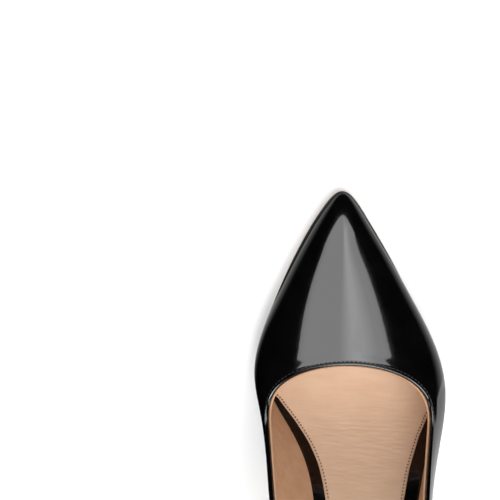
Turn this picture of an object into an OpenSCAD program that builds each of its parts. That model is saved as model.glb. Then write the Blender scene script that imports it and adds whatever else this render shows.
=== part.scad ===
// High heel pump for the right foot: pointed toe, low-cut vamp, thin covered heel.
// Axes: the toe points to -Y, +X is the inner (medial) side of the foot, +Z is up.
// The origin is on the ground, under the middle of the shoe.

/* [Shoe] */
// Length of the upper on the ground, from toe tip to heel back
shoe_l = 218; // [206:1:232]
// Width of the upper over the ball of the foot
ball_w = 79; // [74:1:84]
// Rise of the foot from the ball to the back of the heel
heel_rise = 90; // [80:1:96]

/* [Upper] */
// Thickness of the patent leather
leather_t = 1.2; // [1:0.1:1.4]
// Thickness of the woven backing behind the leather
backing_t = 0.3; // [0.2:0.1:0.4]
// Thickness of the toe puff and of the heel counter
stiffener_t = 0.6; // [0.5:0.1:0.8]
// Thickness of the lining leather
lining_t = 0.8; // [0.6:0.1:1]
// Width of the bound edge along the top line
binding_w = 1.6; // [1.2:0.1:2]
// Width of the tape that keeps the top line from stretching
tape_w = 4; // [3:0.5:6]
// Width of leather that is lasted under the insole
margin_w = 12; // [8:1:14]

/* [Bottom] */
// Thickness of the outsole
outsole_t = 2.4; // [2.2:0.1:3]
// Thickness of the insole board
insole_t = 1.6; // [1.2:0.1:2]
// Thickness of the hard board over the waist and the heel seat
shank_board_t = 1.4; // [1:0.1:1.6]
// Thickness of the foam under the ball of the foot
foam_t = 3.2; // [2.6:0.1:4]
// Thickness of the patent leather that covers the foot bed
wrap_t = 0.8; // [0.6:0.1:1]
// Thickness of the sock
sock_t = 1; // [0.8:0.1:1.4]

/* [Heel] */
// Width of the heel at the ground
tip_w = 9.5; // [9:0.5:12]
// Depth of the heel at the ground
tip_l = 9.5; // [9:0.5:12]
// Height of the top piece, the hard block that the heel stands on
top_piece_h = 6.5; // [5:0.5:8]
// Thickness of the leather around the heel
heel_cover_t = 0.9; // [0.7:0.1:1]

/* [Hidden] */

// ---- The last: 15 stations run along each side, from the toe tip to the back of the heel ----
ku = shoe_l / 218;
kv = ball_w / 79;
kz = heel_rise / 90;
last_station = 14;
// The outsole is worn flat by this much where it meets the ground
tread_flat = 0.4;
// Feather line, where the upper meets the sole: distance from the toe, half widths, lift
FEATHER_U = [-0.3, 4.2, 14, 28, 45, 62, 79, 96, 114, 134, 155, 177, 198, 213.5, 218.2];
FEATHER_M = [3.5, 8.4, 15.2, 22.8, 30.5, 36.3, 38, 25.6, 11.4, 9.6, 15, 23, 26.5, 18, 2];
FEATHER_L = [3.5, -1.4, -7.3, -15.8, -24.4, -32.6, -36.4, -34.4, -29.3, -24, -20.8, -20.6, -22.4, -14, 2];
LIFT = [4.4, 3.9, 2.9, 1.6, 0.6, 0, -0.3, 3, 15, 36, 57, 74, 84.5, 89, 90];
// Ridge over the foot: distance from the toe, sideways place, height above the feather line
RIDGE_U = [3, 6.5, 15, 29, 45, 62, 79, 96, 114, 134, 152, 168, 180, 186, 188];
RIDGE_V = [3.5, 3.5, 3.5, 3.4, 3.2, 3, 2.9, 2.8, 2.6, 2.4, 2.2, 2, 2, 2, 2];
RIDGE_H = [3.9, 8.8, 14.8, 20.6, 27.6, 35.5, 44, 55, 66, 78, 84, 84, 78, 73, 71];
// Wall: how far it leans out on each side, and how high its lower handle is
LEAN_M = [0.8, 1.2, 2.2, 3.5, 6, 10, 12.5, 18.5, 26, 26, 17, 8, 6, 6, 6];
LEAN_L = [0.8, 1.2, 2.2, 3.5, 6, 9.5, 12.6, 11.5, 8, 7.5, 8, 7, 6, 6, 6];
WALL_H = [3.6, 5.2, 8.2, 11.5, 14, 16, 18, 18, 16, 18, 22, 26, 27, 27, 27];
// Shoulder: how far it reaches out from the ridge on each side, and its drop
SHOULDER_M = [1.6, 2.3, 2.9, 7.4, 14.5, 20.5, 27, 40.5, 49, 47, 37, 28, 24, 22, 21];
SHOULDER_L = [1.6, 2.3, 2.8, 7.9, 14.9, 20.5, 27, 31, 34, 33, 31, 28, 24, 22, 21];
SHOULDER_DROP = [0, 0, 0, 0, 0, 0, 0, 2, 5, 4, 2, 0, 0, 0, 0];
// Top line: height of the quarters as a share of the arc from feather line to ridge
TOP_M = [0.46, 0.46, 0.46, 0.46, 0.46, 0.46, 0.46, 0.5, 0.52, 0.5, 0.5, 0.495, 0.505, 0.527, 0.55];
TOP_L = [0.46, 0.46, 0.46, 0.46, 0.46, 0.46, 0.46, 0.5, 0.5, 0.5, 0.5, 0.495, 0.505, 0.527, 0.55];
// Stations of the throat's front and of the end of its round
throat_s = 5.5;
throat_end_s = 7;
throat_power = 2.1;
// Mean length between stations behind the throat, and mean arc from feather line to ridge
station_pitch = 17;
arc_l = 90;

// ---- Layers, as depth under the outer face of the upper and height over the feather line ----
backing_d = leather_t;
stiffener_d = backing_d + backing_t;
lining_d = stiffener_d + stiffener_t;
inside_d = lining_d + lining_t;
margin_h = leather_t;
insole_h = margin_h + lining_t;
shank_board_h = insole_h + insole_t;
foam_h = shank_board_h + shank_board_t;
sock_h = shank_board_h + foam_t;
wrap_h = sock_h - wrap_t;
top_h = sock_h + sock_t;

// ---- Curves ----
function mix(a, b, t) = a + (b - a) * t;
function pick(a, b, k) = k < 0 ? b[-k] : k > last_station ? b[2 * last_station - k] : a[k];
function spline(a, b, s) =
    let (i = min(floor(s), last_station - 1), t = s - i)
    (pow(1 - t, 3) * pick(a, b, i - 1) + (3 * t * t * t - 6 * t * t + 4) * pick(a, b, i)
     + (-3 * t * t * t + 3 * t * t + 3 * t + 1) * pick(a, b, i + 1) + pow(t, 3) * pick(a, b, i + 2)) / 6;
function along(a, s) = spline(a, a, s);
function across(m, l, s, side) = side > 0 ? spline(m, l, s) : spline(l, m, s);

function feather_u(s) = ku * along(FEATHER_U, s);
function feather_z(s) = outsole_t - tread_flat + kz * along(LIFT, s);
function feather(s, side) = [kv * across(FEATHER_M, FEATHER_L, s, side), feather_u(s), feather_z(s)];
function ridge_z(s) = feather_z(s) + along(RIDGE_H, s);
function ridge(s) = [kv * along(RIDGE_V, s), ku * along(RIDGE_U, s), ridge_z(s)];
// Level direction from the ridge out to the feather line
function outward(s, side) =
    let (f = feather(s, side), r = ridge(s), d = [f[0] - r[0], f[1] - r[1], 0]) d / norm(d);
// Slope of the ridge over the vamp, which its shoulders follow
function ridge_slope(s) =
    s >= 7 ? 0 : let (e = 0.001, a = ridge(s), b = ridge(s + e)) (b[2] - a[2]) / (b[1] - a[1] + 1e-9);

// A point of the upper's outer face: t is 0 on the feather line and 1 on the ridge
function face(s, t, side) =
    let (f = feather(s, side), r = ridge(s), d = outward(s, side),
         reach = kv * across(SHOULDER_M, SHOULDER_L, s, side),
         wall = f + d * across(LEAN_M, LEAN_L, s, side) + [0, 0, along(WALL_H, s)],
         drop = ridge_slope(s) * d[1] * reach - along(SHOULDER_DROP, s),
         shoulder = r + d * reach + [0, 0, drop], q = 1 - t)
    q * q * q * f + 3 * t * q * q * wall + 3 * t * t * q * shoulder + t * t * t * r;
function face_normal(s, t, side) =
    let (e = 0.01, s1 = max(s - e, 0), s2 = min(s + e, last_station),
         t1 = max(t - e, 0), t2 = min(t + e, 1),
         n = side * cross(face(s2, t, side) - face(s1, t, side), face(s, t2, side) - face(s, t1, side)))
    n / norm(n);
// Leather is pared thin towards the toe tip
function paring(s) = min(1, 0.55 + 0.15 * s);
function layer_point(s, t, side, depth) = face(s, t, side) - depth * paring(s) * face_normal(s, t, side);

// Stations shift forward as an edge is lowered, so that it stays parallel to the top line
function shifted(s, drop) =
    s < throat_s ? s
    : s - drop / station_pitch * min(1, (last_station - s) / (last_station - throat_end_s));
// Top edge as a value of t, with the edge lowered by drop millimetres
function top_edge(s, side, drop) =
    s < throat_s ? 1
    : let (x = min(1, (s - throat_s) / (throat_end_s - throat_s)),
           g = sqrt(max(0, 1 - pow(1 - x, throat_power))),
           quarter = across(TOP_M, TOP_L, s, side) - drop / arc_l)
      1 - (1 - quarter) * g;

// ---- Sole profile in the plane of length and height, h millimetres off the feather line ----
function sole_point(s, h) =
    let (e = 0.01, s1 = max(s - e, 0), s2 = min(s + e, last_station),
         du = feather_u(s2) - feather_u(s1), dz = feather_z(s2) - feather_z(s1), l = norm([du, dz]))
    [feather_u(s) - h * dz / l, feather_z(s) + h * du / l];
SOLE_TABLE = [for (i = [0:140]) [feather_u(i / 10), feather_z(i / 10)]];
function sole_z(u) = lookup(u, SOLE_TABLE);
function sole_normal(s) = let (a = sole_point(s, 0), b = sole_point(s, 1)) [0, b[0] - a[0], b[1] - a[1]];

// ---- Places of the whole shoe: the origin is under the middle of its box ----
// The outsole's rim stands out this far round the toe
rim_w = 1.2;
function most(list) = max([for (p = list) p]);
function least(list) = min([for (p = list) p]);
WIDE = [for (s = [4.5:0.25:8], t = [0.05:0.05:0.6]) [face(s, t, 1)[0], face(s, t, -1)[0]]];
BACK = [for (t = [0:0.025:0.6]) face(last_station, t, 1)[1]];
mid_x = (most([for (p = WIDE) p[0]]) + least([for (p = WIDE) p[1]])) / 2;
mid_y = (most(BACK) + feather_u(0) - rim_w) / 2;
module placed() { translate([-mid_x, -mid_y, 0]) children(); }

// ---- Wall layers: rows run up each column, columns run round the shoe ----
rows = 9;
// Stations of the columns: from the toe, close together round the throat, then to the heel
FRONT_S = [0, 0.35, 0.8, 1.4, 2.2, 3, 3.8, 4.6, 5.1];
THROAT_S = [for (q = [0:6]) throat_s + (throat_end_s - throat_s) * pow(q / 6, 2)];
REAR_S = [7.6, 8.3, 9, 9.8, 10.6, 11.4, 12.1, 12.7, 13.2, 13.6, 14];
STATIONS = concat(FRONT_S, THROAT_S, REAR_S);
function between(list, a, b) = [for (s = list) if (s >= a && s <= b) s];
function back_to_front(list) = [for (i = [len(list) - 1:-1:0]) list[i]];
// Columns as [station, side]: the whole ring, a band round the toe or heel, or one side
function ring_columns() =
    concat([for (s = STATIONS) [s, 1]],
           [for (s = back_to_front(STATIONS)) if (s > 0 && s < last_station) [s, -1]]);
function toe_columns(b) =
    concat([for (s = back_to_front(between(STATIONS, 0, b))) [s, -1]],
           [for (s = between(STATIONS, 0.01, b)) [s, 1]]);
function heel_columns(a) =
    concat([for (s = between(STATIONS, a, last_station)) [s, 1]],
           [for (s = back_to_front(between(STATIONS, a, last_station - 0.01))) [s, -1]]);
function side_columns(a, b, side) =
    [for (s = side > 0 ? between(STATIONS, a, b) : back_to_front(between(STATIONS, a, b))) [s, side]];

// Corner at the foot of a layer, and the end of the leather that is lasted under
function foot_corner(c, depth, h) =
    feather(c[0], c[1]) - outward(c[0], c[1]) * depth * paring(c[0]) + sole_normal(c[0]) * h;
function margin_end(c, depth, h, width) =
    let (f = feather(c[0], c[1]), r = ridge(c[0]),
         w = min(width + depth * paring(c[0]), 0.5 * norm([f[0] - r[0], f[1] - r[1]])),
         p = f - outward(c[0], c[1]) * w)
    [p[0], p[1], sole_z(p[1])] + sole_normal(c[0]) * h;
// Lowest value of t that clears the boards and margins under the foot
function low_edge(s) = 1 / along(WALL_H, s);

// One face of a layer: the lasted margin if it has one, the foot corner, then the rows
function column_points(c, depth, h, margin, low, drop) =
    let (s = shifted(c[0], drop), k = [s, c[1]], t0 = low < 0 ? low_edge(s) : low,
         t1 = top_edge(c[0], c[1], drop))
    concat(margin > 0 ? [margin_end(k, depth, h, margin)] : [],
           low < 0 ? [foot_corner(k, depth, h)] : [],
           [for (j = [0:rows]) layer_point(s, mix(t0, t1, j / rows), c[1], depth)]);

// A layer between two depths; its outer margin lies at height h0 and its inner one at h1.
// low < 0 starts it on the feather line, otherwise it starts at that share of the arc.
module layer(columns, d0, d1, h0, h1, margin, low, drop, closed) {
    outer = [for (c = columns) column_points(c, d0, h0, margin, low, drop)];
    inner = [for (c = columns) column_points(c, d1, h1, margin, low, drop)];
    n = len(columns);
    m = len(outer[0]);
    // The two sides share their last point on the ridge in front of the throat
    twin = [for (i = [0:n - 1])
        let (c = columns[i],
             hit = [for (k = [0:n - 1]) if (c[1] < 0 && c[0] <= throat_s && columns[k] == [c[0], 1]) k])
        len(hit) > 0 ? hit[0] : i];
    function id(i, j, f) = (j == m - 1 ? twin[i % n] : i % n) * m + j + f * n * m;
    steps = closed ? n : n - 1;
    quads = [for (i = [0:steps - 1], j = [0:m - 2])
        each [[id(i, j, 0), id(i, j + 1, 0), id(i + 1, j + 1, 0), id(i + 1, j, 0)],
              [id(i, j, 1), id(i + 1, j, 1), id(i + 1, j + 1, 1), id(i, j + 1, 1)]]];
    bottom = [for (i = [0:steps - 1]) [id(i, 0, 0), id(i + 1, 0, 0), id(i + 1, 0, 1), id(i, 0, 1)]];
    open_top = [for (i = [0:steps - 1])
        let (a = columns[i][0], b = columns[(i + 1) % n][0])
        if (max(a, b) > throat_s)
            [id(i, m - 1, 0), id(i, m - 1, 1), id(i + 1, m - 1, 1), id(i + 1, m - 1, 0)]];
    ends = closed ? [] : [for (j = [0:m - 2])
        each [[id(0, j, 0), id(0, j, 1), id(0, j + 1, 1), id(0, j + 1, 0)],
              [id(n - 1, j, 0), id(n - 1, j + 1, 0), id(n - 1, j + 1, 1), id(n - 1, j, 1)]]];
    faces = concat(quads, bottom, open_top, ends);
    triangles = [for (f = faces) each [[f[0], f[1], f[2]], [f[0], f[2], f[3]]]];
    polyhedron(concat([for (c = outer) each c], [for (c = inner) each c]), triangles);
}

// A band swept through the columns; points holds one section of m points for each column
module band(points, m, closed) {
    n = len(points) / m;
    steps = closed ? n : n - 1;
    sides = [for (i = [0:steps - 1], j = [0:m - 1])
        let (k = (i + 1) % n, l = (j + 1) % m)
        each [[i * m + j, i * m + l, k * m + l], [i * m + j, k * m + l, k * m + j]]];
    caps = closed ? [] : [for (j = [1:m - 2])
        each [[0, j + 1, j], [(n - 1) * m, (n - 1) * m + j, (n - 1) * m + j + 1]]];
    polyhedron(points, concat(sides, caps));
}
// A closed band along the top line; its section is a list of [drop, depth] points
module topline_band(section) {
    columns = concat([for (s = STATIONS) if (s >= throat_s) [s, 1]],
                     [for (s = back_to_front(STATIONS)) if (s > throat_s && s < last_station) [s, -1]]);
    band([for (c = columns, p = section)
             let (s = shifted(c[0], p[0]))
             layer_point(s, top_edge(c[0], c[1], p[0]), c[1], p[1])],
         len(section), true);
}

// ---- Flat layers of the bottom: a plan outline cut out of a slab that follows the sole profile ----
plan_step = 0.4;
function steps(a, b) = let (n = ceil((b - a) / plan_step)) [for (i = [0:n]) mix(a, b, i / n)];
// Outline at a constant distance inside the feather line
function inset_plan(a, b, inset) =
    concat([for (s = steps(a, b)) inset_point(s, 1, inset)],
           back_to_front([for (s = steps(a, b)) inset_point(s, -1, inset)]));
function inset_point(s, side, inset) =
    let (p = feather(s, side) - outward(s, side) * inset * paring(s)) [p[0], p[1]];
// Value of t at which the inner face of the wall is h above the feather line
function wall_t(s, side, h, a = 0, b = 0.5, n = 10) =
    let (m = (a + b) / 2)
    n == 0 ? m
    : layer_point(s, m, side, inside_d)[2] - feather_z(s) < h ? wall_t(s, side, h, m, b, n - 1)
    : wall_t(s, side, h, a, m, n - 1);
// Plan point against the inner face of the wall between two levels, less a gap
function wall_point(s, side, h0, h1, gap) =
    let (tilt = sole_normal(s)[2],
         pa = layer_point(s, wall_t(s, side, h0 / tilt), side, inside_d),
         pb = layer_point(s, wall_t(s, side, h1 / tilt), side, inside_d),
         p = side * pa[0] < side * pb[0] ? pa : pb,
         q = p - outward(s, side) * gap)
    [q[0], q[1]];
function wall_plan(a, b, h0, h1, gap) =
    concat([for (s = steps(a, b)) wall_point(s, 1, h0, h1, gap)],
           back_to_front([for (s = steps(a, b)) wall_point(s, -1, h0, h1, gap)]));

// Slab between two profiles; each is a list of [u, z] points from the toe backwards
module slab(low, high, w = 60) {
    translate([-w, 0, 0])
        rotate([90, 0, 90])
            linear_extrude(2 * w)
                polygon(concat(low, back_to_front(high)));
}
module flat_layer(plan, low, high) {
    intersection() {
        linear_extrude(200) polygon(plan);
        slab(low, high);
    }
}
function level(a, b, h) = [for (s = steps(a, b)) sole_point(s, h)];
// Stands children on the sole profile, square to it
module on_sole(s, x, h) {
    n = sole_normal(s);
    p = sole_point(s, h);
    translate([x, p[0], p[1]])
        rotate([atan2(-n[1], n[2]), 0, 0])
            children();
}

// ---- Heel ----
breast_s = 10.7;
HEEL_STATIONS = [10.7, 11.1, 11.5, 11.9, 12.3, 12.7, 13.05, 13.35, 13.6, 13.8, 14];
HEEL_LEVELS = [0, 0.04, 0.09, 0.15, 0.22, 0.3, 0.4, 0.52, 0.66, 0.82, 1];
seat_front = feather_u(breast_s);
seat_back = feather_u(last_station);
seat_x = (feather(12.3, 1)[0] + feather(12.3, -1)[0]) / 2;
seat_half_w = (feather(12.3, 1)[0] - feather(12.3, -1)[0]) / 2;
tip_back = seat_back - 10;
tip_front = tip_back - tip_l;
function heel_front(q) = mix(tip_front, seat_front, pow(1 - q, 3));
function heel_back(q) = mix(tip_back, seat_back, pow(1 - q, 1.6));
function heel_half_w(q) = mix(tip_w / 2, seat_half_w, pow(1 - q, 2.6));
// A point of the heel at level q, from the seat (0) to the top piece (1), inset by the cover
function heel_point(s, side, q, inset) =
    let (f = feather(s, side), a = (f[1] - seat_front) / (seat_back - seat_front),
         w = (f[0] - seat_x) / seat_half_w,
         u = mix(heel_front(q) + inset, heel_back(q) - inset, a),
         u_seat = mix(seat_front + inset, seat_back - inset, a))
    [seat_x + w * (heel_half_w(q) - inset), u, mix(sole_z(u_seat), top_piece_h, q)];
function heel_ring(q, inset) =
    concat([for (s = HEEL_STATIONS) heel_point(s, 1, q, inset)],
           [for (s = back_to_front(HEEL_STATIONS)) if (s < last_station) heel_point(s, -1, q, inset)]);
heel_axis_y = (tip_front + tip_back) / 2;
function heel_walls(m, f) =
    [for (i = [0:len(HEEL_LEVELS) - 2], j = [0:m - 1])
        let (l = (j + 1) % m, a = f + i * m + j, b = f + i * m + l, c = b + m, d = a + m)
        each [[a, c, b], [a, d, c]]];

module heel_core() {
    points = [for (q = HEEL_LEVELS) each heel_ring(q, heel_cover_t)];
    m = 2 * len(HEEL_STATIONS) - 1;
    k = (len(HEEL_LEVELS) - 1) * m;
    // Both ends are strips that join the two sides station by station
    ends = [for (j = [0:len(HEEL_STATIONS) - 2])
        let (a = j, b = j + 1, c = m - 2 - j, d = m - 1 - j)
        each [[a, b, c], [a, c, d], [k + a, k + c, k + b], [k + a, k + d, k + c]]];
    polyhedron(points, concat(heel_walls(m, 0), [for (t = ends) if (t[1] != t[2]) t]));
}
module heel_skin() {
    m = 2 * len(HEEL_STATIONS) - 1;
    n = len(HEEL_LEVELS) * m;
    points = concat([for (q = HEEL_LEVELS) each heel_ring(q, 0)],
                    [for (q = HEEL_LEVELS) each heel_ring(q, heel_cover_t)]);
    inner = [for (t = heel_walls(m, n)) [t[0], t[2], t[1]]];
    rims = [for (j = [0:m - 1])
        let (l = (j + 1) % m, k = n - m)
        each [[j, l, n + l], [j, n + l, n + j],
              [k + j, n + k + l, k + l], [k + j, n + k + j, n + k + l]]];
    polyhedron(points, concat(heel_walls(m, 0), inner, rims));
}
// Steel inside the heel
tube_d = 4.5;
pin_d = 3;
tube_top = 50;
screw_s = 11.85;
NAILS = [[11.75, -9], [11.75, 9], [12.5, -9], [12.5, 9], [12.95, 0]];
nail_l = 14;
rivet_stations = [8.1, 9.9];
module screw_shape() {
    on_sole(screw_s, seat_x, foam_h - 25)
        cylinder(d = 4, h = 25, $fn = 32);
    on_sole(screw_s, seat_x, foam_h - 1.2)
        cylinder(d = 8, h = 1.2, $fn = 32);
}
module nail_shapes() {
    for (p = NAILS)
        on_sole(p[0], seat_x + p[1], foam_h - nail_l)
            cylinder(d = 1.8, h = nail_l, $fn = 24);
}
module rivet_shapes() {
    for (s = rivet_stations) {
        on_sole(s, seat_x, 0.1)
            cylinder(d = 3, h = shank_board_h - 0.1, $fn = 24);
    }
}
module tube_hole() {
    translate([seat_x, heel_axis_y, 0])
        cylinder(d = tube_d, h = tube_top, $fn = 32);
}

// ================= Bottom =================
// Stations where the layers of the bottom start and end
sock_front_s = 2.2;
bed_back_s = 13.9;
// Play between the foot bed's layers and the lining
bed_gap = 0.15;
strip_front_s = 6.3;
shank_front_s = 7.4;
shank_back_s = 12.2;
shank_w = 13;

function rim_point(s, side) =
    let (w = lookup(s, [[0, rim_w], [5, rim_w], [7.5, 0.3], [breast_s, 0]]),
         p = feather(s, side) + outward(s, side) * w)
    [p[0], p[1]];
// The tread is flat where the outsole would dip under the ground
module outsole() {
    edge = steps(0, breast_s);
    plan = concat([for (s = edge) rim_point(s, 1)], back_to_front([for (s = edge) rim_point(s, -1)]));
    tread = [for (s = edge) let (p = sole_point(s, -outsole_t)) [p[0], max(0, p[1])]];
    back = seat_front + 4;
    color("#1c1a1a") placed()
        flat_layer(plan,
                   concat([[-4, tread[0][1] + 0.3]], tread, [[back + 2, sole_z(back) - outsole_t]]),
                   concat([[-4, sole_z(0) + 0.3]], level(0, breast_s, 0), [[back, sole_z(back)]]));
}

// Cork sheet that fills the hollow between the lasted margins, with a slot for the shank
function margin_plan(s, side) = let (p = margin_end([s, side], 0, 0, margin_w + 0.4)) [p[0], p[1]];
module bottom_filler() {
    edge = steps(1, 13);
    plan = concat([for (s = edge) margin_plan(s, 1)], back_to_front([for (s = edge) margin_plan(s, -1)]));
    slot_front = feather_u(shank_front_s) - 1;
    color("#a9825a") placed()
        difference() {
            flat_layer(plan, level(0.5, 13.6, 0), level(0.5, 13.6, insole_h));
            translate([seat_x - shank_w / 2 - 0.3, slot_front, 0])
                cube([shank_w + 0.6, feather_u(shank_back_s) + 1 - slot_front, 200]);
            nail_shapes();
        }
}

module insole_board() {
    color("#c9b28c") placed()
        difference() {
            flat_layer(inset_plan(0, last_station, inside_d + 0.1),
                       level(0, last_station, insole_h), level(0, last_station, shank_board_h));
            rivet_shapes();
            screw_shape();
            nail_shapes();
        }
}

// Spring steel strip with a rib pressed along its middle
module shank() {
    front = feather_u(shank_front_s);
    strip = [shank_w, feather_u(shank_back_s) - front, 200];
    a = shank_front_s - 1;
    b = shank_back_s + 1;
    color("#8d9196") placed()
        difference() {
            union() {
                intersection() {
                    translate([seat_x - shank_w / 2, front, 0]) cube(strip);
                    slab(level(a, b, 0), level(a, b, 1.6));
                }
                intersection() {
                    translate([seat_x - 2, front + 14, 0]) cube([4, strip[1] - 34, 200]);
                    slab(level(a, b, 1.5), level(a, b, insole_h));
                }
            }
            rivet_shapes();
            screw_shape();
        }
}

module shank_rivets() {
    color("#b0b3b8") placed() rivet_shapes();
}

module shank_board() {
    a = 6.9;
    b = 13.85;
    color("#7d6547") placed()
        difference() {
            flat_layer(inset_plan(a, b, inside_d + 0.1), level(a, b, shank_board_h), level(a, b, foam_h));
            screw_shape();
            nail_shapes();
        }
}

// One sheet of foam: full height under the ball, a thin layer over the board and under the cover
module footbed_foam() {
    step_s = 6.9;
    a = sock_front_s;
    b = bed_back_s;
    u_step = feather_u(step_s);
    plan = wall_plan(a, b, shank_board_h, sock_h, 0.3);
    color("#d8cfa8") placed()
        difference() {
            flat_layer(plan, level(a - 0.4, last_station, shank_board_h),
                       level(a - 0.4, last_station, sock_h));
            intersection() {
                translate([-60, u_step, 0]) cube([120, 200, 200]);
                slab(level(a, last_station, shank_board_h - 1), level(a, last_station, foam_h));
            }
            intersection() {
                translate([-60, feather_u(strip_front_s), 0]) cube([120, 200, 200]);
                slab(level(a, last_station, wrap_h), level(a, last_station, top_h));
            }
        }
}

module footbed_cover() {
    a = strip_front_s;
    color("#141313") placed()
        flat_layer(wall_plan(a, bed_back_s, wrap_h, sock_h, bed_gap),
                   level(a, last_station, wrap_h), level(a, last_station, sock_h));
}

// The sock fills the width in front and leaves a strip of the cover on each side behind
STRIP_M = [[strip_front_s, 0], [6.36, 1.4], [6.5, 2.8], [7, 4.6], [7.5, 5.8], [8, 6.3], [9, 6.2], [11, 5], [13.7, 4]];
STRIP_L = [[6.5, 0], [6.85, 2.6], [7.35, 4.8], [8, 6.1], [9.5, 6.2], [11.5, 5.5], [13.7, 4.8]];
function strip_w(s, side) = lookup(s, side > 0 ? STRIP_M : STRIP_L);
function sock_point(s, side, inset) =
    wall_point(s, side, sock_h, top_h, bed_gap + strip_w(s, side) + inset);
module sock_lining() {
    a = sock_front_s;
    edge = steps(a, bed_back_s);
    color("#dcb592") placed()
        flat_layer(concat([for (s = edge) sock_point(s, 1, 0)],
                          back_to_front([for (s = edge) sock_point(s, -1, 0)])),
                   level(a - 0.4, last_station, sock_h), level(a - 0.4, last_station, top_h));
}

// Thread along the edge of the sock, round the heel from one strip's front to the other's
module sock_stitching() {
    b = bed_back_s;
    inset = 1;
    side_m = [for (s = steps(strip_front_s, b)) concat(sock_point(s, 1, inset), [s])];
    side_l = [for (s = steps(strip_front_s + 0.5, b)) concat(sock_point(s, -1, inset), [s])];
    line = concat(side_m, back_to_front(side_l));
    n = len(line);
    points = [for (i = [0:n - 1])
        let (p = line[i], q = line[min(i + 1, n - 1)] - line[max(i - 1, 0)],
             d = [q[1], -q[0], 0] / norm([q[0], q[1]]), base = [p[0], p[1], lookup(p[1], SOCK_TABLE)])
        for (a = [0:60:300]) base + 0.22 * (d * cos(a) + [0, 0, 1] * sin(a))];
    color("#b98d68") placed() band(points, 6, false);
}
SOCK_TABLE = [for (i = [20:140]) sole_point(i / 10, top_h + 0.2)];

// ================= Upper =================
vamp_s = THROAT_S[4];
puff_s = 2.2;
counter_s = 10.6;
edge_drop = binding_w + tape_w;

module upper() {
    color("#0d0d0f") placed()
        layer(ring_columns(), 0, backing_d, 0, margin_h, margin_w, -1, binding_w, true);
}
module upper_backing() {
    color("#3a3a3c") placed()
        layer(ring_columns(), backing_d, stiffener_d, margin_h, margin_h, 0, -1, edge_drop, true);
}
module toe_puff() {
    color("#cfc9b8") placed()
        layer(toe_columns(puff_s), stiffener_d, lining_d, margin_h, margin_h, 0, -1, edge_drop, false);
}
module heel_counter() {
    color("#b7a27c") placed()
        layer(heel_columns(counter_s), stiffener_d, lining_d, margin_h, margin_h, 0, -1,
              edge_drop + 2, false);
}
module vamp_lining() {
    color("#a97f5f") placed()
        layer(toe_columns(vamp_s), lining_d, inside_d, margin_h, insole_h, margin_w - 4, -1, 0.4, false);
}
module quarter_lining_medial() {
    color("#a97f5f") placed()
        layer(side_columns(vamp_s, last_station, 1), lining_d, inside_d, margin_h, insole_h,
              margin_w - 4, -1, 0.4, false);
}
module quarter_lining_lateral() {
    color("#a97f5f") placed()
        layer(side_columns(vamp_s, last_station, -1), lining_d, inside_d, margin_h, insole_h,
              margin_w - 4, -1, 0.4, false);
}
// Suede pocket that holds the foot at the back
module heel_grip() {
    color("#c19a76") placed()
        layer(heel_columns(12.1), inside_d, inside_d + 0.7, 0, 0, 0, 0.14, 4, false);
}
module topline_tape() {
    color("#e6e3da") placed()
        topline_band([[binding_w, backing_d], [binding_w, stiffener_d],
                      [edge_drop, stiffener_d], [edge_drop, backing_d]]);
}
module topline_binding() {
    color("#0d0d0f") placed()
        topline_band([[binding_w, -0.1], [0.7, -0.2], [0.1, 0.1], [-0.1, 0.7],
                      [0.1, 1.2], [0.6, stiffener_d], [binding_w, stiffener_d]]);
}
module topline_stitching() {
    drop = binding_w + 0.6;
    color("#0d0d0f") placed()
        topline_band([for (a = [0:60:300]) [drop + 0.22 * cos(a), -0.22 - 0.22 * sin(a)]]);
}

// ================= Heel =================
module heel() {
    color("#1a1a1a") placed()
        difference() {
            heel_core();
            tube_hole();
            screw_shape();
            nail_shapes();
        }
}
module heel_cover() {
    color("#0d0d0f") placed() heel_skin();
}
module heel_tube() {
    color("#9aa0a6") placed()
        difference() {
            translate([seat_x, heel_axis_y, top_piece_h])
                cylinder(d = tube_d, h = tube_top - top_piece_h, $fn = 32);
            translate([seat_x, heel_axis_y, 0])
                cylinder(d = pin_d, h = 2 * tube_top, $fn = 32);
        }
}
module heel_screw() {
    color("#9aa0a6") placed() screw_shape();
}
module heel_nails() {
    color("#8a8d90") placed() nail_shapes();
}
module top_piece() {
    ring = heel_ring(1, 0);
    color("#161616") placed()
        difference() {
            linear_extrude(top_piece_h) polygon([for (p = ring) [p[0], p[1]]]);
            translate([seat_x, heel_axis_y, 2])
                cylinder(d = pin_d, h = top_piece_h, $fn = 32);
        }
}
module top_piece_pin() {
    color("#9aa0a6") placed()
        translate([seat_x, heel_axis_y, 2])
            cylinder(d = pin_d, h = 20, $fn = 32);
}

outsole();
bottom_filler();
insole_board();
shank();
shank_rivets();
shank_board();
footbed_foam();
footbed_cover();
sock_lining();
sock_stitching();
upper();
upper_backing();
toe_puff();
heel_counter();
vamp_lining();
quarter_lining_medial();
quarter_lining_lateral();
heel_grip();
topline_tape();
topline_binding();
topline_stitching();
heel();
heel_cover();
heel_tube();
heel_screw();
heel_nails();
top_piece();
top_piece_pin();
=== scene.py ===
"""Looks of the high heel pump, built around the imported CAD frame.

Lengths inside this script are millimetres in the shoe's own axes: x to the medial side, u from the toe
tip backwards, z up. to_frame() turns them into the frame's metres.
"""

import math

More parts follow.
